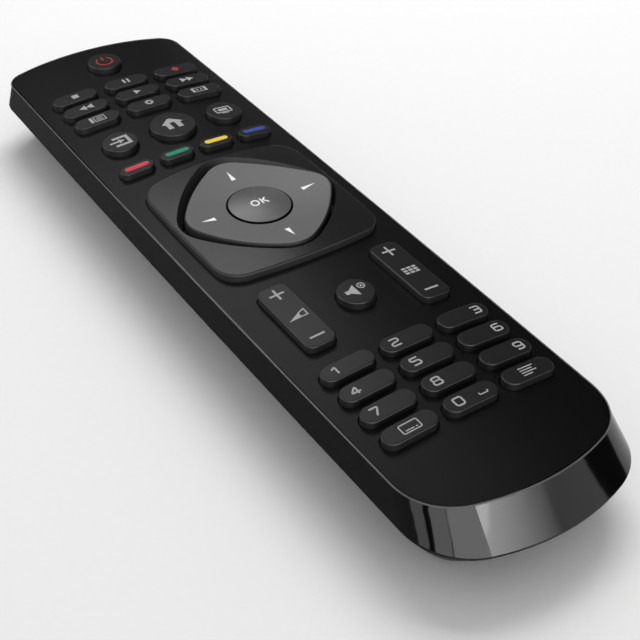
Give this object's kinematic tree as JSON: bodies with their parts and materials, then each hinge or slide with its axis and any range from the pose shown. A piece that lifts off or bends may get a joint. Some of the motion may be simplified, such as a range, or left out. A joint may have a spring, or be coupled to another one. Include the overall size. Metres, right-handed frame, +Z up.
{
  "type": "tv remote control",
  "caption": "Long crowned handset for a television: domed arrow pad, rows of sprung keys, two rocker keys, gloss side band and a sliding battery door underneath.",
  "frame": {"origin": "on the resting face, midway along and across the case", "axes": "+Y along the case towards the power key, +X across to the right seen from above, +Z up out of the keys"},
  "size_m": [0.052, 0.1985, 0.0208],
  "materials": {
    "cover": "fine matte grain",
    "frame": "gloss",
    "window": "gloss",
    "shell": "matte",
    "board": "satin solder resist",
    "mat": "matte",
    "chip": "matte",
    "resonator": "satin",
    "capacitor": "satin",
    "led": "gloss",
    "cell": "satin",
    "contact": "nickel plated",
    "control_plate": "satin gloss",
    "ring": "satin gloss",
    "key": "fine matte",
    "red_key": "fine matte, red bar",
    "green_key": "fine matte, green bar",
    "yellow_key": "fine matte, yellow bar",
    "blue_key": "fine matte, blue bar"
  },
  "bodies": {
    "case": {"side_frame": "frame", "top_cover": "cover", "back_shell": "shell", "ir_window": "window", "circuit_board": "board", "keypad_mat": "mat", "controller_chip": "chip", "resonator": "resonator", "capacitor": "capacitor", "infrared_led": "led", "left_cell": "cell", "right_cell": "cell", "near_contact": "contact", "left_contact": "contact", "right_contact": "contact", "left_coil": "contact", "right_coil": "contact"},
    "battery_door": {"battery_door": "shell"},
    "one_key": {"one_key": "key"},
    "two_key": {"two_key": "key"},
    "three_key": {"three_key": "key"},
    "four_key": {"four_key": "key"},
    "five_key": {"five_key": "key"},
    "six_key": {"six_key": "key"},
    "seven_key": {"seven_key": "key"},
    "eight_key": {"eight_key": "key"},
    "nine_key": {"nine_key": "key"},
    "subtitle_key": {"subtitle_key": "key"},
    "zero_key": {"zero_key": "key"},
    "text_key": {"text_key": "key"},
    "stop_key": {"stop_key": "key"},
    "pause_key": {"pause_key": "key"},
    "record_key": {"record_key": "key"},
    "rewind_key": {"rewind_key": "key"},
    "play_key": {"play_key": "key"},
    "forward_key": {"forward_key": "key"},
    "guide_key": {"guide_key": "key"},
    "setup_key": {"setup_key": "key"},
    "screen_key": {"screen_key": "key"},
    "red_key": {"red_key": "red_key"},
    "green_key": {"green_key": "green_key"},
    "yellow_key": {"yellow_key": "yellow_key"},
    "blue_key": {"blue_key": "blue_key"},
    "power_key": {"power_key": "key"},
    "home_key": {"home_key": "key"},
    "source_key": {"source_key": "key"},
    "tv_key": {"tv_key": "key"},
    "mute_key": {"mute_key": "key"},
    "centre_button": {"centre_button": "ring"},
    "volume_rocker": {"volume_rocker": "key"},
    "channel_rocker": {"channel_rocker": "key"},
    "ring_cushion": {"ring_cushion": "mat"},
    "arrow_ring": {"arrow_ring": "ring"},
    "plate_cushion": {"plate_cushion": "mat"},
    "corner_plate": {"corner_plate": "control_plate"}
  },
  "joints": [
    {"name": "battery_door_slide", "type": "slide", "parent": "case", "child": "battery_door", "axis": [0, -1, 0], "range_m": [0, 0.08]},
    {"name": "volume_rocker_rock", "type": "hinge", "parent": "case", "child": "volume_rocker", "pos_m": [-0.01412, -0.03335, 0.0175], "axis": [1, 0, 0], "range_deg": [-3, 3], "stiffness_Nm_per_rad": 0.13},
    {"name": "channel_rocker_rock", "type": "hinge", "parent": "case", "child": "channel_rocker", "pos_m": [0.01412, -0.03335, 0.0175], "axis": [1, 0, 0], "range_deg": [-3, 3], "stiffness_Nm_per_rad": 0.13},
    {"name": "ring_up_down", "type": "hinge", "parent": "case", "child": "ring_cushion", "pos_m": [0, 0.00375, 0.0175], "axis": [1, 0, 0], "range_deg": [-2.2, 2.2], "stiffness_Nm_per_rad": 0.4, "deforming": ["ring_cushion"]},
    {"name": "ring_left_right", "type": "hinge", "parent": "ring_cushion", "child": "arrow_ring", "pos_m": [0, 0.00375, 0.0175], "axis": [0, 1, 0], "range_deg": [-2.2, 2.2], "stiffness_Nm_per_rad": 0.4},
    {"name": "plate_first_diagonal", "type": "hinge", "parent": "case", "child": "plate_cushion", "pos_m": [0, 0.00375, 0.0175], "axis": [0.7071, 0.7071, 0], "range_deg": [-1.2, 1.2], "stiffness_Nm_per_rad": 1.2, "deforming": ["plate_cushion"]},
    {"name": "plate_second_diagonal", "type": "hinge", "parent": "plate_cushion", "child": "corner_plate", "pos_m": [0, 0.00375, 0.0175], "axis": [0.7071, -0.7071, 0], "range_deg": [-1.2, 1.2], "stiffness_Nm_per_rad": 1.2},
    {"name": "centre_button_press", "type": "slide", "parent": "case", "child": "centre_button", "axis": [0, 0, -1], "range_m": [0, 0.0008], "stiffness_N_per_m": 1200},
    {"name": "mute_key_press", "type": "slide", "parent": "case", "child": "mute_key", "axis": [0, 0, -1], "range_m": [0, 0.0008], "stiffness_N_per_m": 1200},
    {"name": "power_key_press", "type": "slide", "parent": "case", "child": "power_key", "axis": [0, 0, -1], "range_m": [0, 0.0008], "stiffness_N_per_m": 1200},
    {"name": "one_key_press", "type": "slide", "parent": "case", "child": "one_key", "axis": [0, 0, -1], "range_m": [0, 0.0008], "stiffness_N_per_m": 1200},
    {"name": "two_key_press", "type": "slide", "parent": "case", "child": "two_key", "axis": [0, 0, -1], "range_m": [0, 0.0008], "stiffness_N_per_m": 1200},
    {"name": "three_key_press", "type": "slide", "parent": "case", "child": "three_key", "axis": [0, 0, -1], "range_m": [0, 0.0008], "stiffness_N_per_m": 1200},
    {"name": "four_key_press", "type": "slide", "parent": "case", "child": "four_key", "axis": [0, 0, -1], "range_m": [0, 0.0008], "stiffness_N_per_m": 1200},
    {"name": "five_key_press", "type": "slide", "parent": "case", "child": "five_key", "axis": [0, 0, -1], "range_m": [0, 0.0008], "stiffness_N_per_m": 1200},
    {"name": "six_key_press", "type": "slide", "parent": "case", "child": "six_key", "axis": [0, 0, -1], "range_m": [0, 0.0008], "stiffness_N_per_m": 1200},
    {"name": "seven_key_press", "type": "slide", "parent": "case", "child": "seven_key", "axis": [0, 0, -1], "range_m": [0, 0.0008], "stiffness_N_per_m": 1200},
    {"name": "eight_key_press", "type": "slide", "parent": "case", "child": "eight_key", "axis": [0, 0, -1], "range_m": [0, 0.0008], "stiffness_N_per_m": 1200},
    {"name": "nine_key_press", "type": "slide", "parent": "case", "child": "nine_key", "axis": [0, 0, -1], "range_m": [0, 0.0008], "stiffness_N_per_m": 1200},
    {"name": "subtitle_key_press", "type": "slide", "parent": "case", "child": "subtitle_key", "axis": [0, 0, -1], "range_m": [0, 0.0008], "stiffness_N_per_m": 1200},
    {"name": "zero_key_press", "type": "slide", "parent": "case", "child": "zero_key", "axis": [0, 0, -1], "range_m": [0, 0.0008], "stiffness_N_per_m": 1200},
    {"name": "text_key_press", "type": "slide", "parent": "case", "child": "text_key", "axis": [0, 0, -1], "range_m": [0, 0.0008], "stiffness_N_per_m": 1200},
    {"name": "stop_key_press", "type": "slide", "parent": "case", "child": "stop_key", "axis": [0, 0, -1], "range_m": [0, 0.0008], "stiffness_N_per_m": 1200},
    {"name": "pause_key_press", "type": "slide", "parent": "case", "child": "pause_key", "axis": [0, 0, -1], "range_m": [0, 0.0008], "stiffness_N_per_m": 1200},
    {"name": "record_key_press", "type": "slide", "parent": "case", "child": "record_key", "axis": [0, 0, -1], "range_m": [0, 0.0008], "stiffness_N_per_m": 1200},
    {"name": "rewind_key_press", "type": "slide", "parent": "case", "child": "rewind_key", "axis": [0, 0, -1], "range_m": [0, 0.0008], "stiffness_N_per_m": 1200},
    {"name": "play_key_press", "type": "slide", "parent": "case", "child": "play_key", "axis": [0, 0, -1], "range_m": [0, 0.0008], "stiffness_N_per_m": 1200},
    {"name": "forward_key_press", "type": "slide", "parent": "case", "child": "forward_key", "axis": [0, 0, -1], "range_m": [0, 0.0008], "stiffness_N_per_m": 1200},
    {"name": "guide_key_press", "type": "slide", "parent": "case", "child": "guide_key", "axis": [0, 0, -1], "range_m": [0, 0.0008], "stiffness_N_per_m": 1200},
    {"name": "setup_key_press", "type": "slide", "parent": "case", "child": "setup_key", "axis": [0, 0, -1], "range_m": [0, 0.0008], "stiffness_N_per_m": 1200},
    {"name": "screen_key_press", "type": "slide", "parent": "case", "child": "screen_key", "axis": [0, 0, -1], "range_m": [0, 0.0008], "stiffness_N_per_m": 1200},
    {"name": "red_key_press", "type": "slide", "parent": "case", "child": "red_key", "axis": [0, 0, -1], "range_m": [0, 0.0008], "stiffness_N_per_m": 1200},
    {"name": "green_key_press", "type": "slide", "parent": "case", "child": "green_key", "axis": [0, 0, -1], "range_m": [0, 0.0008], "stiffness_N_per_m": 1200},
    {"name": "yellow_key_press", "type": "slide", "parent": "case", "child": "yellow_key", "axis": [0, 0, -1], "range_m": [0, 0.0008], "stiffness_N_per_m": 1200},
    {"name": "blue_key_press", "type": "slide", "parent": "case", "child": "blue_key", "axis": [0, 0, -1], "range_m": [0, 0.0008], "stiffness_N_per_m": 1200},
    {"name": "home_key_press", "type": "slide", "parent": "case", "child": "home_key", "axis": [0, 0, -1], "range_m": [0, 0.0008], "stiffness_N_per_m": 1200},
    {"name": "source_key_press", "type": "slide", "parent": "case", "child": "source_key", "axis": [0, 0, -1], "range_m": [0, 0.0008], "stiffness_N_per_m": 1200},
    {"name": "tv_key_press", "type": "slide", "parent": "case", "child": "tv_key", "axis": [0, 0, -1], "range_m": [0, 0.0008], "stiffness_N_per_m": 1200}
  ]
}
